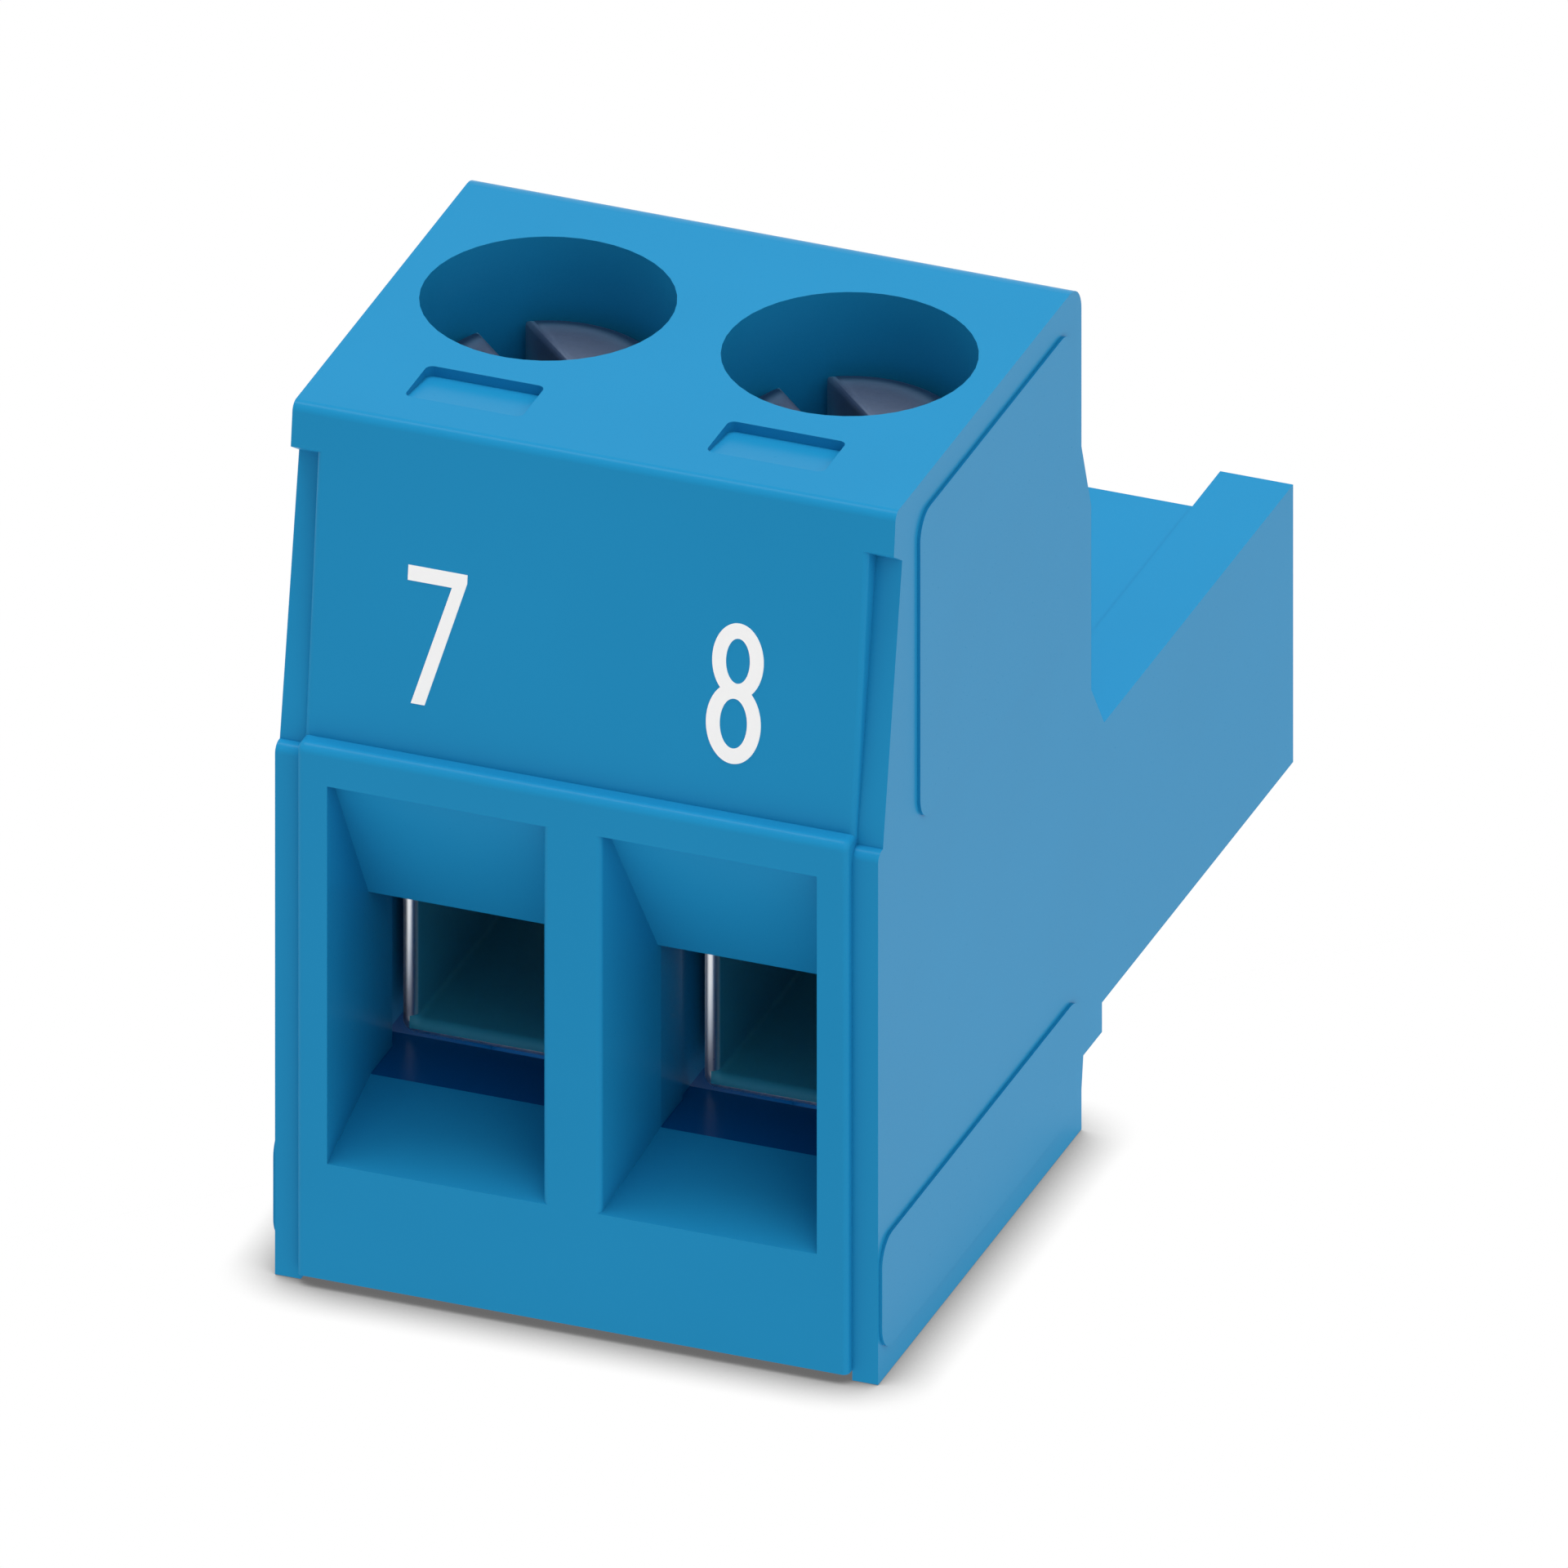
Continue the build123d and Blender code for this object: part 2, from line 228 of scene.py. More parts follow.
def rolled_and_plated(tree, place):
    """Fine rolling lines along the strip, blotches in its plating, and the bump of the lines."""
    # Rolling lines 0.03 mm wide and about 1 mm long, drawn out along Y
    stretched = add_node(tree, "ShaderNodeMapping", {"Vector": place, "Scale": (1.0, 0.03, 1.0)})
    lines = add_node(tree, "ShaderNodeTexNoise", {
        "Vector": stretched.outputs["Vector"], "Scale": per_size(0.03 * MM), "Detail": 2.0,
    })
    # Blotches in the plating, about 0.5 mm across
    blotches = add_node(tree, "ShaderNodeTexNoise", {
        "Vector": place, "Scale": per_size(0.5 * MM), "Detail": 3.0,
    })
    bump = add_node(tree, "ShaderNodeBump", {
        "Height": lines.outputs["Fac"], "Strength": 0.2, "Distance": 0.001 * MM,
    })
    return lines.outputs["Fac"], blotches.outputs["Fac"], bump.outputs["Normal"]


def moulded_polyamide(colours):
    """Blue polyamide, injection moulded in a finely eroded tool: an even, silky matt surface,
    with a grain that only breaks up the highlights and faint clouds from the melt's flow.
    In its hollows a dark deep blue is painted on as shade, for the light that goes from blue
    wall to blue wall."""
    material, tree, out = new_material("moulded_blue_polyamide")
    place = add_node(tree, "ShaderNodeTexCoord").outputs["Object"]
    open_share = how_open(tree, reach=6 * MM, hidden=0.06, exposed=0.5)
    # The eroded grain is about 0.04 mm across
    grain = add_node(tree, "ShaderNodeTexNoise", {
        "Vector": place, "Scale": per_size(0.04 * MM), "Detail": 3.0, "Roughness": 0.6,
    })
    # Clouds of the flowing melt, about 3 mm across
    clouds = add_node(tree, "ShaderNodeTexNoise", {
        "Vector": place, "Scale": per_size(3.0 * MM), "Detail": 2.0,
    })
    bump = add_node(tree, "ShaderNodeBump", {
        "Height": grain.outputs["Fac"], "Strength": 0.25, "Distance": 0.002 * MM,
    })
    darker, lighter = shades(colours.moulding, 0.03)
    clouded = add_node(tree, "ShaderNodeMix", {
        0: clouds.outputs["Fac"], COLOUR_A: darker, COLOUR_B: lighter,
    }, data_type="RGBA")
    # Narrow hollows get the deep colour as painted shade
    with_painted_shade = add_node(tree, "ShaderNodeMix", {
        0: open_share, COLOUR_A: opaque(colours.moulding_hollow_shade), COLOUR_B: clouded.outputs[MIXED],
    }, data_type="RGBA")
    # The sill behind each funnel and the well behind it get a navy painted shade for the clamp's
    # shade
    at = add_node(tree, "ShaderNodeSeparateXYZ", {"Vector": place}).outputs
    across = add_node(tree, "ShaderNodeMath", {0: at["X"]}, operation="ABSOLUTE")
    either_side = add_node(tree, "ShaderNodeCombineXYZ", {
        "X": across.outputs[0], "Y": at["Y"], "Z": at["Z"],
    })
    shaded = add_node(tree, "ShaderNodeMix", {
        0: inside_box(tree, either_side.outputs["Vector"], SILL_SHADE_LOW, SILL_SHADE_HIGH),
        COLOUR_A: with_painted_shade.outputs[MIXED],
        COLOUR_B: opaque(colours.moulding_sill_shade),
    }, data_type="RGBA")
    roughness = add_node(tree, "ShaderNodeMapRange", {
        "Value": grain.outputs["Fac"], "To Min": 0.25, "To Max": 0.33,
    })
    surface = add_node(tree, "ShaderNodeBsdfPrincipled", {
        "Base Color": shaded.outputs[MIXED],
        "Roughness": roughness.outputs["Result"],
        "IOR": 1.53,
        # The studio is white on all sides, so its mirror image is kept faint
        "Specular IOR Level": 0.05,
        "Normal": bump.outputs["Normal"],
    })
    tree.links.new(surface.outputs["BSDF"], out.inputs["Surface"])
    return material


def turned_zinc_steel(colours, sizes, axis, radius):
    """Steel, turned on a lathe and zinc plated: a soft grey metal whose fine turning rings run
    round the screw's own axis."""
    material, tree, out = new_material("turned_zinc_plated_steel")
    place = add_node(tree, "ShaderNodeTexCoord").outputs["Object"]
    centred = add_node(tree, "ShaderNodeMapping", {
        "Vector": place, "Location": -axis,
    }).outputs["Vector"]
    # Turning rings 0.06 mm apart, a little coarser than real ones so that they show
    rings = add_node(tree, "ShaderNodeTexWave", {
        "Vector": centred, "Scale": rings_per_size(0.06 * MM), "Distortion": 0.4, "Detail": 1.0,
    }, wave_type="RINGS", rings_direction="Z")
    # Plating crystals, about 0.05 mm across
    plating = add_node(tree, "ShaderNodeTexNoise", {
        "Vector": centred, "Scale": per_size(0.05 * MM), "Detail": 4.0,
    })
    bump = add_node(tree, "ShaderNodeBump", {
        "Height": rings.outputs["Fac"], "Strength": 0.25, "Distance": 0.001 * MM,
    })
    # In the slot a darker blue is painted on as a reflection of the bore's blue wall
    open_share = how_open(tree, reach=0.8 * MM, hidden=0.6, exposed=0.84, alone=False)
    darker, lighter = shades(colours.zinc, 0.08)
    plated = add_node(tree, "ShaderNodeMix", {
        0: plating.outputs["Fac"], COLOUR_A: darker, COLOUR_B: lighter,
    }, data_type="RGBA")
    with_painted_shade = add_node(tree, "ShaderNodeMix", {
        0: open_share, COLOUR_A: opaque(colours.zinc_slot_reflection), COLOUR_B: plated.outputs[MIXED],
    }, data_type="RGBA")
    # Round the head a dark colour is painted on as a reflection of the dark gap, beginning where
    # the crown turns down
    level = add_node(tree, "ShaderNodeVectorMath", {
        0: centred, 1: (1.0, 1.0, 0.0),
    }, operation="MULTIPLY")
    outwards = add_node(tree, "ShaderNodeVectorMath", {
        0: level.outputs["Vector"],
    }, operation="LENGTH")
    rim = add_node(tree, "ShaderNodeMapRange", {
        "Value": outwards.outputs["Value"],
        "From Min": radius - 0.36 * MM, "From Max": radius - 0.14 * MM,
    }, interpolation_type="SMOOTHSTEP")
    # The slot's walls and their lips, up to 0.08 mm outside the slot, stay clear of this painted
    # reflection
    across_slot = add_node(tree, "ShaderNodeVectorMath", {
        0: centred, 1: (-sin(sizes.slot_turn), cos(sizes.slot_turn), 0.0),
    }, operation="DOT_PRODUCT")
    in_slot = add_node(tree, "ShaderNodeMath", {
        0: across_slot.outputs["Value"], 1: 0.0, 2: sizes.slot_width / 2 + 0.08 * MM,
    }, operation="COMPARE")
    beside_slot = add_node(tree, "ShaderNodeMath", {
        0: 1.0, 1: in_slot.outputs[0],
    }, operation="SUBTRACT")
    gap_share = add_node(tree, "ShaderNodeMath", {
        0: rim.outputs["Result"], 1: beside_slot.outputs[0],
    }, operation="MULTIPLY")
    with_rim_shade = add_node(tree, "ShaderNodeMix", {
        0: gap_share.outputs[0],
        COLOUR_A: with_painted_shade.outputs[MIXED],
        COLOUR_B: opaque(colours.zinc_rim_shade),
    }, data_type="RGBA")
    metallic = add_node(tree, "ShaderNodeMapRange", {
        "Value": open_share, "To Min": 0.1, "To Max": 0.9,
    })
    roughness = add_node(tree, "ShaderNodeMapRange", {
        "Value": plating.outputs["Fac"], "To Min": 0.38, "To Max": 0.5,
    })
    surface = add_node(tree, "ShaderNodeBsdfPrincipled", {
        "Base Color": with_rim_shade.outputs[MIXED],
        "Metallic": metallic.outputs["Result"],
        "Roughness": roughness.outputs["Result"],
        "Normal": bump.outputs["Normal"],
    })
    tree.links.new(surface.outputs["BSDF"], out.inputs["Surface"])
    return material


def tin_plated_strip(colours):
    """Rolled copper strip, stamped, bent and tin plated: a pale, soft metal with fine rolling
    lines along the strip and slightly blotched plating. Where blue walls shut it in, a teal
    painted shade goes on."""
    material, tree, out = new_material("tin_plated_copper_strip")
    place = add_node(tree, "ShaderNodeTexCoord").outputs["Object"]
    lines, blotches, normal = rolled_and_plated(tree, place)
    darker, lighter = shades(colours.tin, 0.05)
    blotched = add_node(tree, "ShaderNodeMix", {
        0: blotches, COLOUR_A: darker, COLOUR_B: lighter,
    }, data_type="RGBA")
    # Where blue walls shut it in, the deep teal is painted on as shade
    with_painted_shade = add_node(tree, "ShaderNodeMix", {
        0: how_open(tree, reach=2 * MM, hidden=0.3, exposed=0.6),
        COLOUR_A: opaque(colours.tin_hollow_shade),
        COLOUR_B: blotched.outputs[MIXED],
    }, data_type="RGBA")
    roughness = add_node(tree, "ShaderNodeMapRange", {
        "Value": lines, "To Min": 0.3, "To Max": 0.45,
    })
    surface = add_node(tree, "ShaderNodeBsdfPrincipled", {
        "Base Color": with_painted_shade.outputs[MIXED],
        "Metallic": 1.0,
        "Roughness": roughness.outputs["Result"],
        "Normal": normal,
    })
    tree.links.new(surface.outputs["BSDF"], out.inputs["Surface"])
    return material


def nickel_plated_sleeve(colours, low, high):
    """Brass strip bent into a sleeve and nickel plated: bright on the rim and outside. The space
    inside, shut in by blue walls, gets a dull dark teal painted shade, standing in for their
    reflection."""
    material, tree, out = new_material("nickel_plated_brass_sleeve")
    place = add_node(tree, "ShaderNodeTexCoord").outputs["Object"]
    lines, blotches, normal = rolled_and_plated(tree, place)
    # The inside gets a painted shade; these boxes mark where it goes
    # The inside with the faces round it: the box ends within the sheet of the side walls and of
    # the foot, and beyond the sleeve everywhere else
    left, right = low.x + SHEET / 2, high.x - SHEET / 2
    front, back = low.y - SHEET, high.y + SHEET
    foot, floor_top, over = low.z + SHEET / 4, low.z + 1.3 * SHEET, high.z + SHEET
    walled = inside_box(tree, place, (left, front, foot), (right, back, over))
    floor = inside_box(tree, place, (left, front, foot), (right, back, floor_top))
    # The same without the walls' faces
    clear = inside_box(tree, place, (left + SHEET, front, foot), (right - SHEET, back, over))
    # The painted shade spares the front rim, and sets in softly over a tenth of a millimetre behind
    # it
    at = add_node(tree, "ShaderNodeSeparateXYZ", {"Vector": place})
    behind = add_node(tree, "ShaderNodeMapRange", {
        "Value": at.outputs["Y"], "From Min": low.y + 0.06 * MM, "From Max": low.y + 0.16 * MM,
    }, interpolation_type="SMOOTHSTEP")
    past_rim = add_node(tree, "ShaderNodeMath", {
        0: walled, 1: behind.outputs["Result"],
    }, operation="MULTIPLY")
    inside = add_node(tree, "ShaderNodeMath", {
        0: past_rim.outputs[0], 1: floor,
    }, operation="MAXIMUM").outputs[0]
    # Floor and side walls catch more light than the real ones, so their colour is halved
    not_clear = add_node(tree, "ShaderNodeMath", {0: 1.0, 1: clear}, operation="SUBTRACT")
    walls = add_node(tree, "ShaderNodeMath", {
        0: inside, 1: not_clear.outputs[0],
    }, operation="MULTIPLY")
    shade = add_node(tree, "ShaderNodeMath", {0: floor, 1: walls.outputs[0]}, operation="MAXIMUM")
    dimmed = add_node(tree, "ShaderNodeMapRange", {
        "Value": shade.outputs[0], "To Min": 1.0, "To Max": 0.5,
    })
    # Inside, a dark teal colour is painted on as shade and reflection of the blue walls
    outer, inner = (
        add_node(tree, "ShaderNodeMix", {
            0: blotches, COLOUR_A: darker, COLOUR_B: lighter,
        }, data_type="RGBA").outputs[MIXED]
        for darker, lighter in (shades(colours.nickel, 0.05), shades(colours.nickel_inside_shade, 0.05))
    )
    with_painted_shade = add_node(tree, "ShaderNodeMix", {
        0: inside, COLOUR_A: outer, COLOUR_B: inner,
    }, data_type="RGBA")
    shaded = add_node(tree, "ShaderNodeVectorMath", {
        0: with_painted_shade.outputs[MIXED], "Scale": dimmed.outputs["Result"],
    }, operation="SCALE")
    # Inside it is rougher by 0.3, and so dull that it no longer looks like metal
    polished = add_node(tree, "ShaderNodeMapRange", {
        "Value": lines, "To Min": 0.25, "To Max": 0.35,
    })
    roughness = add_node(tree, "ShaderNodeMath", {
        0: inside, 1: 0.3, 2: polished.outputs["Result"],
    }, operation="MULTIPLY_ADD")
    metallic = add_node(tree, "ShaderNodeMath", {0: 1.0, 1: inside}, operation="SUBTRACT")
    surface = add_node(tree, "ShaderNodeBsdfPrincipled", {
        "Base Color": shaded.outputs["Vector"],
        "Metallic": metallic.outputs[0],
        "Roughness": roughness.outputs[0],
        "Normal": normal,
    })
    tree.links.new(surface.outputs["BSDF"], out.inputs["Surface"])
    return material


def pad_printed_ink(colours):
    """White two-part ink, pad printed and cured: an opaque, slightly mottled satin film."""
    material, tree, out = new_material("pad_printed_white_ink")
    place = add_node(tree, "ShaderNodeTexCoord").outputs["Object"]
    # Mottle of the printing pad, about 0.08 mm across
    mottle = add_node(tree, "ShaderNodeTexNoise", {
        "Vector": place, "Scale": per_size(0.08 * MM), "Detail": 2.0,
    })
    bump = add_node(tree, "ShaderNodeBump", {
        "Height": mottle.outputs["Fac"], "Strength": 0.15, "Distance": 0.001 * MM,
    })
    darker, lighter = shades(colours.ink, 0.02)
    mottled = add_node(tree, "ShaderNodeMix", {
        0: mottle.outputs["Fac"], COLOUR_A: darker, COLOUR_B: lighter,
    }, data_type="RGBA")
    roughness = add_node(tree, "ShaderNodeMapRange", {
        "Value": mottle.outputs["Fac"], "To Min": 0.45, "To Max": 0.6,
    })
    surface = add_node(tree, "ShaderNodeBsdfPrincipled", {
        "Base Color": mottled.outputs[MIXED],
        "Roughness": roughness.outputs["Result"],
        "IOR": 1.5,
        "Normal": bump.outputs["Normal"],
    })
    tree.links.new(surface.outputs["BSDF"], out.inputs["Surface"])
    return material


def dress_node(name, material):
    """Gives a CAD node its material."""
    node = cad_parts[name]
    if not node.material_slots:
        node.data.materials.append(material)
    for slot in node.material_slots:
        slot.material = material


def mesh_from(bm, name):
    """Writes a bmesh into a new mesh with its doubles merged and its faces outwards."""
    bmesh.ops.remove_doubles(bm, verts=bm.verts, dist=0.0002 * MM)
    bmesh.ops.recalc_face_normals(bm, faces=bm.faces)
    mesh = bpy.data.meshes.new(name)
    bm.to_mesh(mesh)
    bm.free()
    return mesh


def combined(base, tool, operation):
    """The union, difference or intersection of two closed bmeshes, as a new bmesh."""
    held = [
        bpy.data.objects.new(name, mesh_from(bm, name))
        for name, bm in (("base", base), ("tool", tool))
    ]
    for each in held:
        bpy.context.scene.collection.objects.link(each)
    cut = held[0].modifiers.new("combine", "BOOLEAN")
    cut.operation = operation
    cut.solver = "EXACT"
    cut.object = held[1]
    graph = bpy.context.evaluated_depsgraph_get()
    result = bpy.data.meshes.new_from_object(held[0].evaluated_get(graph))
    bm = bmesh.new()
    bm.from_mesh(result)
    bpy.data.meshes.remove(result)
    # With its mesh, each object goes too
    for each in held:
        bpy.data.meshes.remove(each.data)
    return bm


def finish_piece(bm, name, body, material):
    """Makes a bmesh a piece of the part: shaded, dressed, and riding on its body."""
    mesh = mesh_from(bm, name)
    mesh.shade_smooth()
    mesh.set_sharp_from_angle(angle=SHARP_ANGLE)
    mesh.materials.append(material)
    piece = bpy.data.objects.new(name, mesh)
    bpy.context.scene.collection.objects.link(piece)
    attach(piece, body)
    return piece


def arc_points(centre, radius, start, end, count):
    """Points along an arc in a plane, from one angle to another, in degrees."""
    angles = [radians(start + (end - start) * i / count) for i in range(count + 1)]
    return [(centre[0] + radius * cos(a), centre[1] + radius * sin(a)) for a in angles]


def lathe(profile, steps):
    """Turns an outline of (radius, height) points about the Z axis."""
    bm = bmesh.new()
    verts = [bm.verts.new((radius, 0, height)) for radius, height in profile]
    edges = [bm.edges.new(pair) for pair in zip(verts, verts[1:])]
    bmesh.ops.spin(
        bm, geom=verts + edges, cent=(0, 0, 0), axis=(0, 0, 1), dvec=(0, 0, 0),
        angle=2 * pi, steps=steps, use_merge=True,
    )
    return bm


def pull_out(bm, faces, offset):
    """Extrudes faces and moves the new ones by an offset."""
    extruded = bmesh.ops.extrude_face_region(bm, geom=faces)
    moved = [v for v in extruded["geom"] if isinstance(v, bmesh.types.BMVert)]
    bmesh.ops.translate(bm, verts=moved, vec=offset)


def bar_of(outline, half_length):
    """Extrudes an outline of (across, height) points along X, to both sides."""
    bm = bmesh.new()
    verts = [bm.verts.new((-half_length, across, height)) for across, height in outline]
    pull_out(bm, [bm.faces.new(verts)], (2 * half_length, 0, 0))
    return bm


def threaded_shank(sizes, tip, top):
    """A right-handed thread from the tip up into the head."""
    crest, pitch = sizes.thread_radius, sizes.thread_pitch
    root = crest - sizes.thread_depth
    # Radius of each corner of the thread's section, and the share of a pitch at which it lies
    section = ((root, 0.0), (root, 0.25), (crest, 0.56), (crest, 0.69))
    # It starts two turns below the tip, goes past the top, and is then cut level at both
    turns_below = 2
    turns = int((top - tip) / pitch) + turns_below + 1
    bm = bmesh.new()
    verts = [
        bm.verts.new((radius, 0, tip + (k - turns_below + share) * pitch))
        for k in range(turns) for radius, share in section
    ]
    edges = [bm.edges.new(pair) for pair in zip(verts, verts[1:])]
    bmesh.ops.spin(
        bm, geom=verts + edges, cent=(0, 0, 0), axis=(0, 0, 1), dvec=(0, 0, pitch / sizes.steps),
        angle=2 * pi, steps=sizes.steps, use_merge=False,
    )
    bmesh.ops.remove_doubles(bm, verts=bm.verts, dist=0.0005 * MM)
    for height, upward in ((tip, 1), (top, -1)):
        geometry = bm.verts[:] + bm.edges[:] + bm.faces[:]
        bmesh.ops.bisect_plane(
            bm, geom=geometry, clear_outer=True, plane_co=(0, 0, height), plane_no=(0, 0, -upward),
        )
    bmesh.ops.holes_fill(bm, edges=[e for e in bm.edges if e.is_boundary])
    for vert in bm.verts:
        reach = crest - max(0.0, tip + sizes.tip_chamfer - vert.co.z)
        radius = vert.co.xy.length
        if radius > reach:
            vert.co.xy *= reach / radius
    return bm


def clamp_screw(sizes, radius, tip, top):
    """A cheese-head screw on the Z axis: turned head, rolled thread, slot with rounded lips."""
    foot = top - sizes.head_height
    lip, half_slot = sizes.slot_lip_round, sizes.slot_width / 2
    rim = (radius - sizes.foot_round, foot + sizes.foot_round)
    # A quarter of an ellipse, from the rim of the crown inwards in steps of 10 degrees
    crown = [
        (radius - sizes.crown_width * (1 - sin(a)), top - sizes.crown_drop * (1 - cos(a)))
        for a in (radians(90 - 10 * i) for i in range(10))
    ]
    head = lathe(
        [(0, foot)] + arc_points(rim, sizes.foot_round, -90, 0, 3) + crown + [(0, top)],
        sizes.steps,
    )
    # The thread reaches half a pitch into the head, so that the two join
    screw = combined(head, threaded_shank(sizes, tip, foot + sizes.thread_pitch / 2), "UNION")
    over = top + sizes.crown_drop
    slot = bar_of(
        [(-half_slot, top - sizes.slot_depth)]
        + arc_points((-half_slot - lip, top - lip), lip, 0, 90, 6)
        + [(-half_slot - lip, over), (half_slot + lip, over)]
        + arc_points((half_slot + lip, top - lip), lip, 90, 180, 6)
        + [(half_slot, top - sizes.slot_depth)],
        2 * radius,
    )
    turned = Matrix.Rotation(sizes.slot_turn, 3, "Z")
    bmesh.ops.rotate(slot, verts=slot.verts, cent=(0, 0, 0), matrix=turned)
    return combined(screw, slot, "DIFFERENCE")


def ink_film(outline, thickness):
    """A flat outline of (across, up) points in the XZ plane, as a film in front of it."""
    bm = bmesh.new()
    face = bm.faces.new([bm.verts.new((across, 0, up)) for across, up in outline])
    pull_out(bm, [face], (0, -thickness, 0))
    return bm


def ink_ring(sizes, width, height, centre):
    """An upright oval ring of ink, with strokes thicker above and below than at the sides."""
    bm = bmesh.new()
    upright = Matrix.Rotation(pi / 2, 4, "X")
    for shrink_across, shrink_up in ((0, 0), (sizes.stem, sizes.bar)):
        made = bmesh.ops.create_circle(bm, segments=96, radius=0.5, matrix=upright)
        bmesh.ops.scale(
            bm, verts=made["verts"], vec=(width - 2 * shrink_across, 1, height - 2 * shrink_up),
        )
    bridged = bmesh.ops.bridge_loops(bm, edges=bm.edges[:])
    pull_out(bm, bridged["faces"], (0, -sizes.ink, 0))
    bmesh.ops.translate(bm, verts=bm.verts, vec=(centre[0], 0, centre[1]))
    return bm


def printed_seven(sizes):
    """A seven: a level bar and a slanting stem, centred across."""
    half, top = sizes.width / 2, sizes.height
    # The stem's foot is left of the middle, and its right edge starts upright, below the bar's end
    foot_left = -0.35 * MM
    shoulder = 0.15 * MM
    inner_corner = 0.243 * MM
    return ink_film([
        (-half, top), (half, top), (half, top - shoulder), (foot_left + sizes.stem, 0),
        (foot_left, 0), (inner_corner, top - sizes.bar), (-half, top - sizes.bar),
    ], sizes.ink)


def printed_eight(sizes):
    """An eight: two oval rings that share the stroke at the waist, the upper one smaller."""
    # The rings reach past the seven's height above and below, and the lower one sits to the left
    overshoot, lower_shift = 0.03 * MM, -0.03 * MM
    lower_height, lower_width, upper_width = 1.345 * MM, 0.907 * MM, 0.852 * MM
    upper_height = sizes.height + 2 * overshoot - lower_height + sizes.bar
    lower_centre = lower_height / 2 - overshoot
    upper_centre = sizes.height + overshoot - upper_height / 2
    lower = ink_ring(sizes, lower_width, lower_height, (lower_shift, lower_centre))
    upper = ink_ring(sizes, upper_width, upper_height, (0, upper_centre))
    return combined(lower, upper, "UNION")


class TERMBLOCK_OT_housing(bpy.types.Operator):
    """Dress the housing in blue moulded polyamide"""

    bl_idname = "termblock.housing"
    bl_label = "Housing"

    def execute(self, context):
        colours = context.scene.block_colours
        dress_node("housing", moulded_polyamide(colours))
        return {"FINISHED"}


class TERMBLOCK_OT_clamp_screws(bpy.types.Operator):
    """Model the two clamp screws with their threads and driver slots"""

    bl_idname = "termblock.clamp_screws"
    bl_label = "Clamp Screws"

    def execute(self, context):
        colours, sizes = context.scene.block_colours, context.scene.screw_sizes
        for side in SIDES:
            low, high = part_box(f"screw_{side}")
            centre = (low + high) / 2
            axis = Vector((centre.x, centre.y, 0))
            radius = (high.x - low.x) / 2
            bm = clamp_screw(sizes, radius, low.z, high.z)
            bmesh.ops.translate(bm, verts=bm.verts, vec=axis)
            finish = turned_zinc_steel(colours, sizes, axis, radius)
            piece = finish_piece(bm, f"clamp_screw_{side}", f"{side}_screw", finish)
            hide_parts(f"screw_{side}")
        return {"FINISHED"}


class TERMBLOCK_OT_clamp_cages(bpy.types.Operator):
    """Dress the two clamp cages in nickel plated brass"""

    bl_idname = "termblock.clamp_cages"
    bl_label = "Clamp Cages"

    def execute(self, context):
        colours = context.scene.block_colours
        for side in SIDES:
            dress_node(f"cage_{side}", nickel_plated_sleeve(colours, *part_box(f"cage_{side}")))
        return {"FINISHED"}


class TERMBLOCK_OT_contacts(bpy.types.Operator):
    """Dress the two contacts in tinned copper"""

    bl_idname = "termblock.contacts"
    bl_label = "Contacts"

    def execute(self, context):
        finish = tin_plated_strip(context.scene.block_colours)
        for side in SIDES:
            dress_node(f"contact_{side}", finish)
        return {"FINISHED"}


class TERMBLOCK_OT_pole_numbers(bpy.types.Operator):
    """Print the pole numbers on the leaning front panel"""

    bl_idname = "termblock.pole_numbers"
    bl_label = "Pole Numbers"

    def execute(self, context):
        sizes = context.scene.number_sizes
        finish = pad_printed_ink(context.scene.block_colours)
        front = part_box("housing")[0].y
        rise = sizes.print_start - sizes.ledge_height
        panel = front + sizes.ledge_depth + rise * tan(sizes.panel_lean)
        leaned = Matrix.Rotation(-sizes.panel_lean, 3, "X")
        for side, name, glyph in zip(SIDES, ("seven", "eight"), (printed_seven, printed_eight)):
            low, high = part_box(f"screw_{side}")
            foot = ((low.x + high.x) / 2 + sizes.offset, panel, sizes.print_start)
            bm = glyph(sizes)
            bmesh.ops.rotate(bm, verts=bm.verts, cent=(0, 0, 0), matrix=leaned)
            bmesh.ops.translate(bm, verts=bm.verts, vec=foot)
            finish_piece(bm, f"pole_number_{name}", "block", finish)
        return {"FINISHED"}


class TERMBLOCK_OT_stage(bpy.types.Operator):
    """Set up the pale floor, the soft studio light and the camera"""

    bl_idname = "termblock.stage"
    bl_label = "Stage"

    def execute(self, context):
        scene = context.scene
        scene.view_settings.view_transform = "Standard"
        make_floor()
        make_world(scene)
        make_lamp("overhead_softbox", strength=1.46, spread=radians(22), towards=(-0.20, 0.03, 1.0))
        make_lamp("right_softbox", strength=0.9, spread=radians(60), towards=(0.60, -0.30, 0.75))
        make_camera(scene)
        return {"FINISHED"}


def seen_directly(tree):
    """One for what the camera sees, also in metal and glass, and nought for light that bounces."""
    path = add_node(tree, "ShaderNodeLightPath")
    glossy = add_node(tree, "ShaderNodeMath", {
        0: path.outputs["Is Glossy Ray"], 1: path.outputs["Is Transmission Ray"],
    }, operation="MAXIMUM")
    seen = add_node(tree, "ShaderNodeMath", {
        0: path.outputs["Is Camera Ray"], 1: glossy.outputs[0],
    }, operation="MAXIMUM")
    return seen.outputs[0]


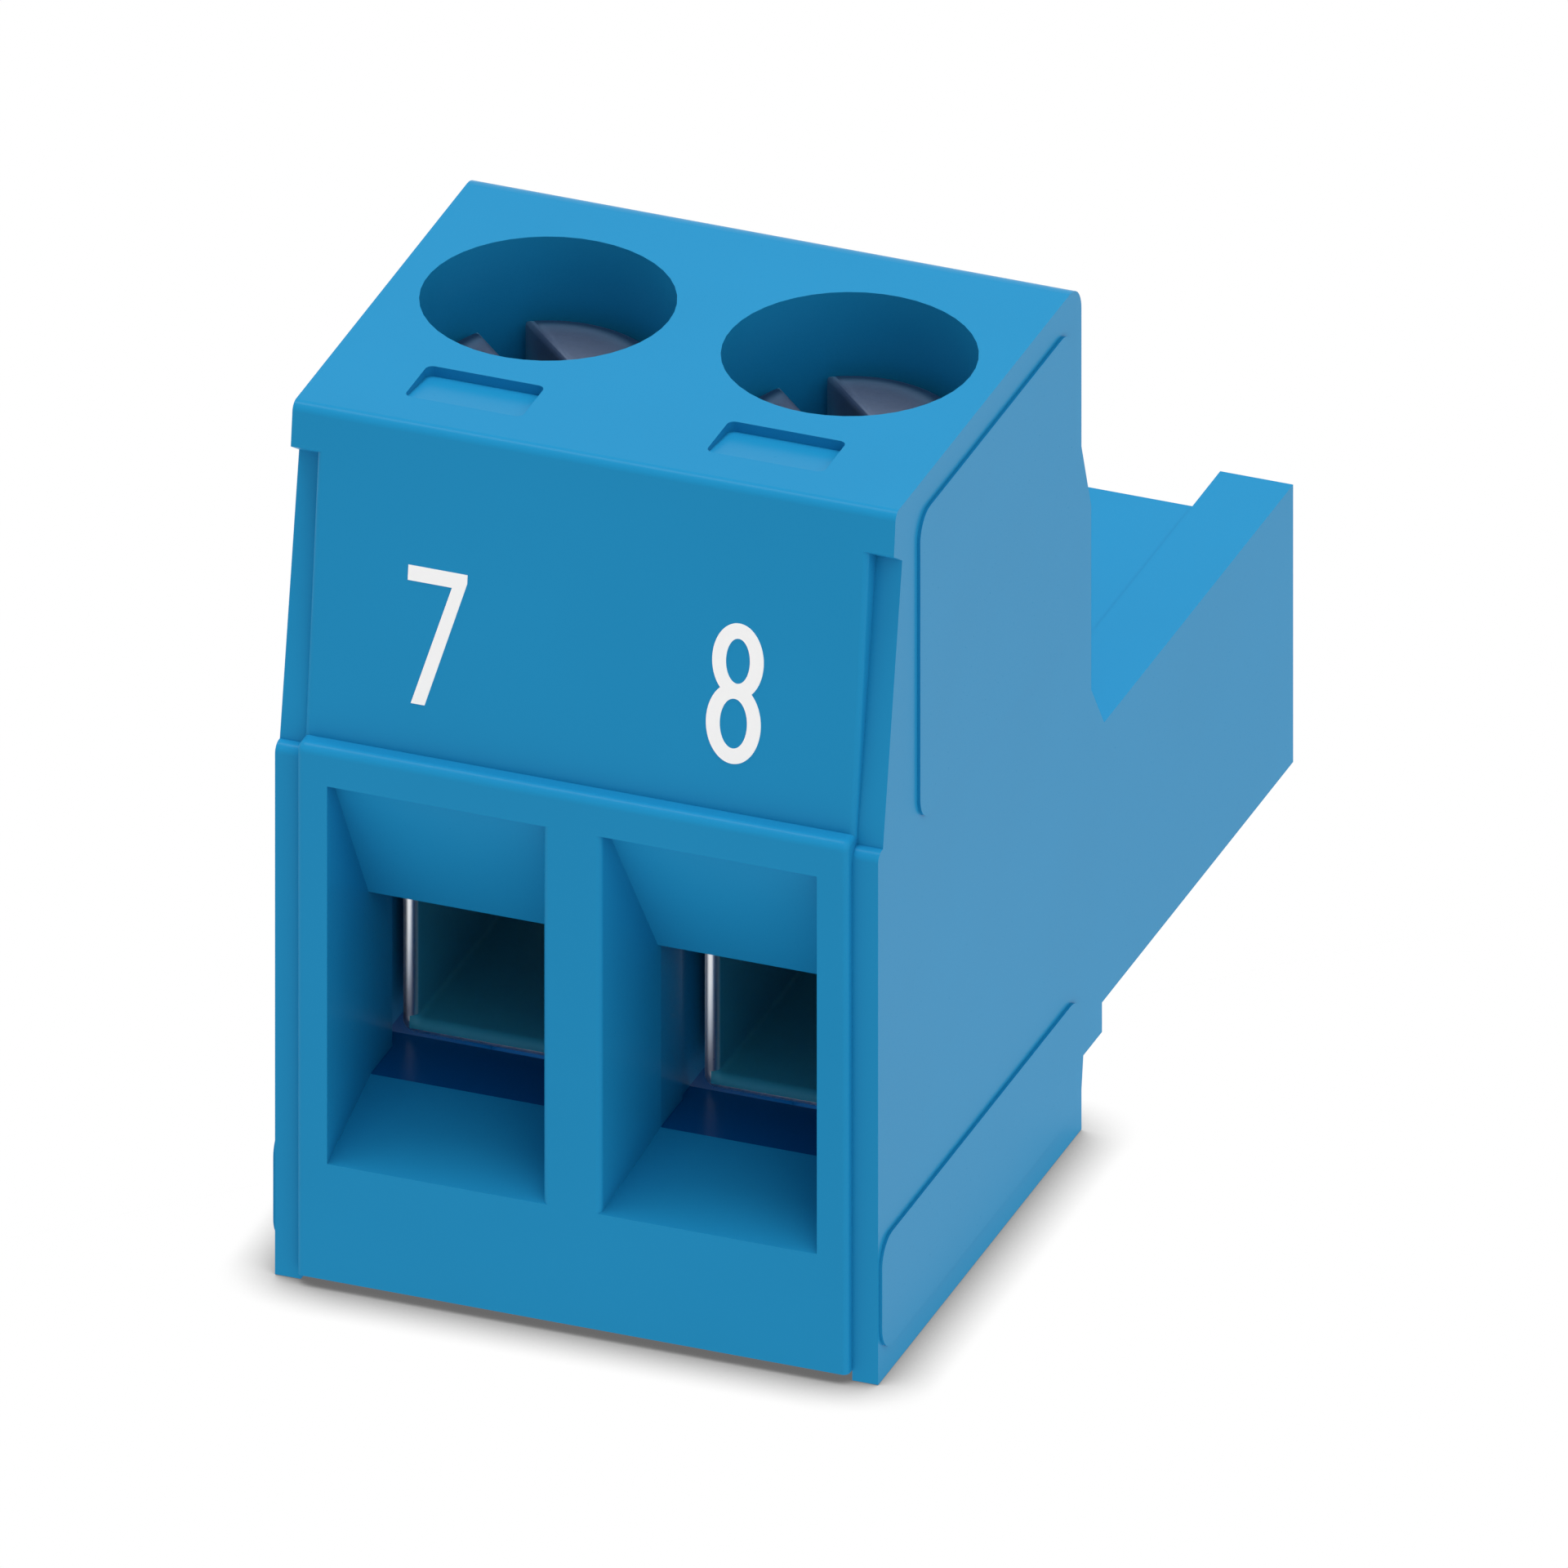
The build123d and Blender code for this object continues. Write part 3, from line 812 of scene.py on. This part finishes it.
def make_floor():
    """A plain white floor, just below the part, with a soft painted shadow where they meet."""
    material, tree, out = new_material("white_studio_floor")
    # The contact shadow is painted from ambient occlusion. It reaches 0.95 mm out from the part,
    # and is darkest, at 0.14 of white, where 0.3 of the directions or fewer are free
    near = add_node(tree, "ShaderNodeAmbientOcclusion", {"Distance": 0.95 * MM}, samples=16)
    shade = add_node(tree, "ShaderNodeMapRange", {
        "Value": near.outputs["AO"], "From Min": 0.3, "To Min": 0.14,
    })
    shown = add_node(tree, "ShaderNodeEmission", {"Strength": shade.outputs[0]})
    # The table lights the part evenly from below
    bounce = add_node(tree, "ShaderNodeEmission", {"Strength": 1.06})
    mix = add_node(tree, "ShaderNodeMixShader", {
        0: seen_directly(tree), 1: bounce.outputs[0], 2: shown.outputs[0],
    })
    tree.links.new(mix.outputs[0], out.inputs["Surface"])
    bm = bmesh.new()
    bmesh.ops.create_grid(bm, x_segments=1, y_segments=1, size=400 * MM)
    bmesh.ops.translate(bm, verts=bm.verts, vec=(0, 0, -0.01 * MM))
    mesh = bpy.data.meshes.new("floor")
    bm.to_mesh(mesh)
    bm.free()
    mesh.materials.append(material)
    floor = bpy.data.objects.new("floor", mesh)
    bpy.context.scene.collection.objects.link(floor)


def make_world(scene):
    """Soft white light from all sides, and a white background."""
    world = bpy.data.worlds.new("studio")
    world.use_nodes = True
    tree = world.node_tree
    tree.nodes.clear()
    # The light grows from the horizon to overhead, as under a studio's ceiling softbox
    upward = add_node(tree, "ShaderNodeSeparateXYZ", {
        "Vector": add_node(tree, "ShaderNodeTexCoord").outputs["Generated"],
    })
    overhead = add_node(tree, "ShaderNodeMapRange", {
        "Value": upward.outputs["Z"], "To Min": 0.3, "To Max": 0.57,
    })
    # Two long panels left and right add to it
    sideways = add_node(tree, "ShaderNodeMath", {0: upward.outputs["X"]}, operation="ABSOLUTE")
    softbox = add_node(tree, "ShaderNodeMath", {
        0: sideways.outputs[0], 1: 0.1, 2: overhead.outputs[0],
    }, operation="MULTIPLY_ADD")
    strength = add_node(tree, "ShaderNodeMapRange", {
        "Value": seen_directly(tree), "To Min": softbox.outputs[0], "To Max": 1.0,
    })
    light = add_node(tree, "ShaderNodeBackground", {
        "Color": opaque((1, 1, 1)), "Strength": strength.outputs[0],
    })
    add_node(tree, "ShaderNodeOutputWorld", {"Surface": light.outputs[0]})
    scene.world = world


def make_lamp(name, strength, spread, towards):
    """A wide soft sun that shines from a direction."""
    lamp = bpy.data.lights.new(name, "SUN")
    lamp.energy = strength
    lamp.angle = spread
    holder = bpy.data.objects.new(name, lamp)
    holder.rotation_mode = "QUATERNION"
    holder.rotation_quaternion = Vector(towards).to_track_quat("Z", "Y")
    bpy.context.scene.collection.objects.link(holder)


def make_camera(scene):
    """A parallel view from the photograph's side, seen from front right and above."""
    azimuth, elevation = radians(20.92), radians(28.76)
    back = Vector((sin(azimuth) * cos(elevation), -cos(azimuth) * cos(elevation), sin(elevation)))
    looked_at, distance = Vector((2.039, -5.237, 8.160)) * MM, 100 * MM
    data = bpy.data.cameras.new("camera")
    data.type = "ORTHO"
    data.ortho_scale = 24.282 * MM
    data.clip_start = 1 * MM
    data.clip_end = 1000 * MM
    camera = bpy.data.objects.new("camera", data)
    camera.rotation_mode = "QUATERNION"
    camera.rotation_quaternion = back.to_track_quat("Z", "Y")
    camera.location = looked_at + back * distance
    scene.collection.objects.link(camera)
    scene.camera = camera


OPERATORS = (
    TERMBLOCK_OT_housing,
    TERMBLOCK_OT_clamp_screws,
    TERMBLOCK_OT_clamp_cages,
    TERMBLOCK_OT_contacts,
    TERMBLOCK_OT_pole_numbers,
    TERMBLOCK_OT_stage,
)


class TERMBLOCK_PT_sidebar(bpy.types.Panel):
    """Lists the pieces of the terminal block"""

    bl_label = "Terminal Block"
    bl_idname = "TERMBLOCK_PT_sidebar"
    bl_space_type = "VIEW_3D"
    bl_region_type = "UI"
    bl_category = "Terminal Block"

    def draw(self, context):
        for operator in OPERATORS:
            self.layout.operator(operator.bl_idname)
        scene = context.scene
        for group in (scene.screw_sizes, scene.number_sizes, scene.block_colours):
            box = self.layout.box()
            for name in group.__annotations__:
                box.prop(group, name)


CLASSES = (ClampScrewSizes, PoleNumberSizes, FinishColours, *OPERATORS, TERMBLOCK_PT_sidebar)


def register():
    for each in CLASSES:
        bpy.utils.register_class(each)
    bpy.types.Scene.screw_sizes = PointerProperty(type=ClampScrewSizes)
    bpy.types.Scene.number_sizes = PointerProperty(type=PoleNumberSizes)
    bpy.types.Scene.block_colours = PointerProperty(type=FinishColours)


def unregister():
    del bpy.types.Scene.block_colours
    del bpy.types.Scene.number_sizes
    del bpy.types.Scene.screw_sizes
    for each in reversed(CLASSES):
        bpy.utils.unregister_class(each)


def main():
    """Builds every piece."""
    register()
    for operator in OPERATORS:
        family, name = operator.bl_idname.split(".")
        getattr(getattr(bpy.ops, family), name)()


if __name__ == "__main__":
    main()
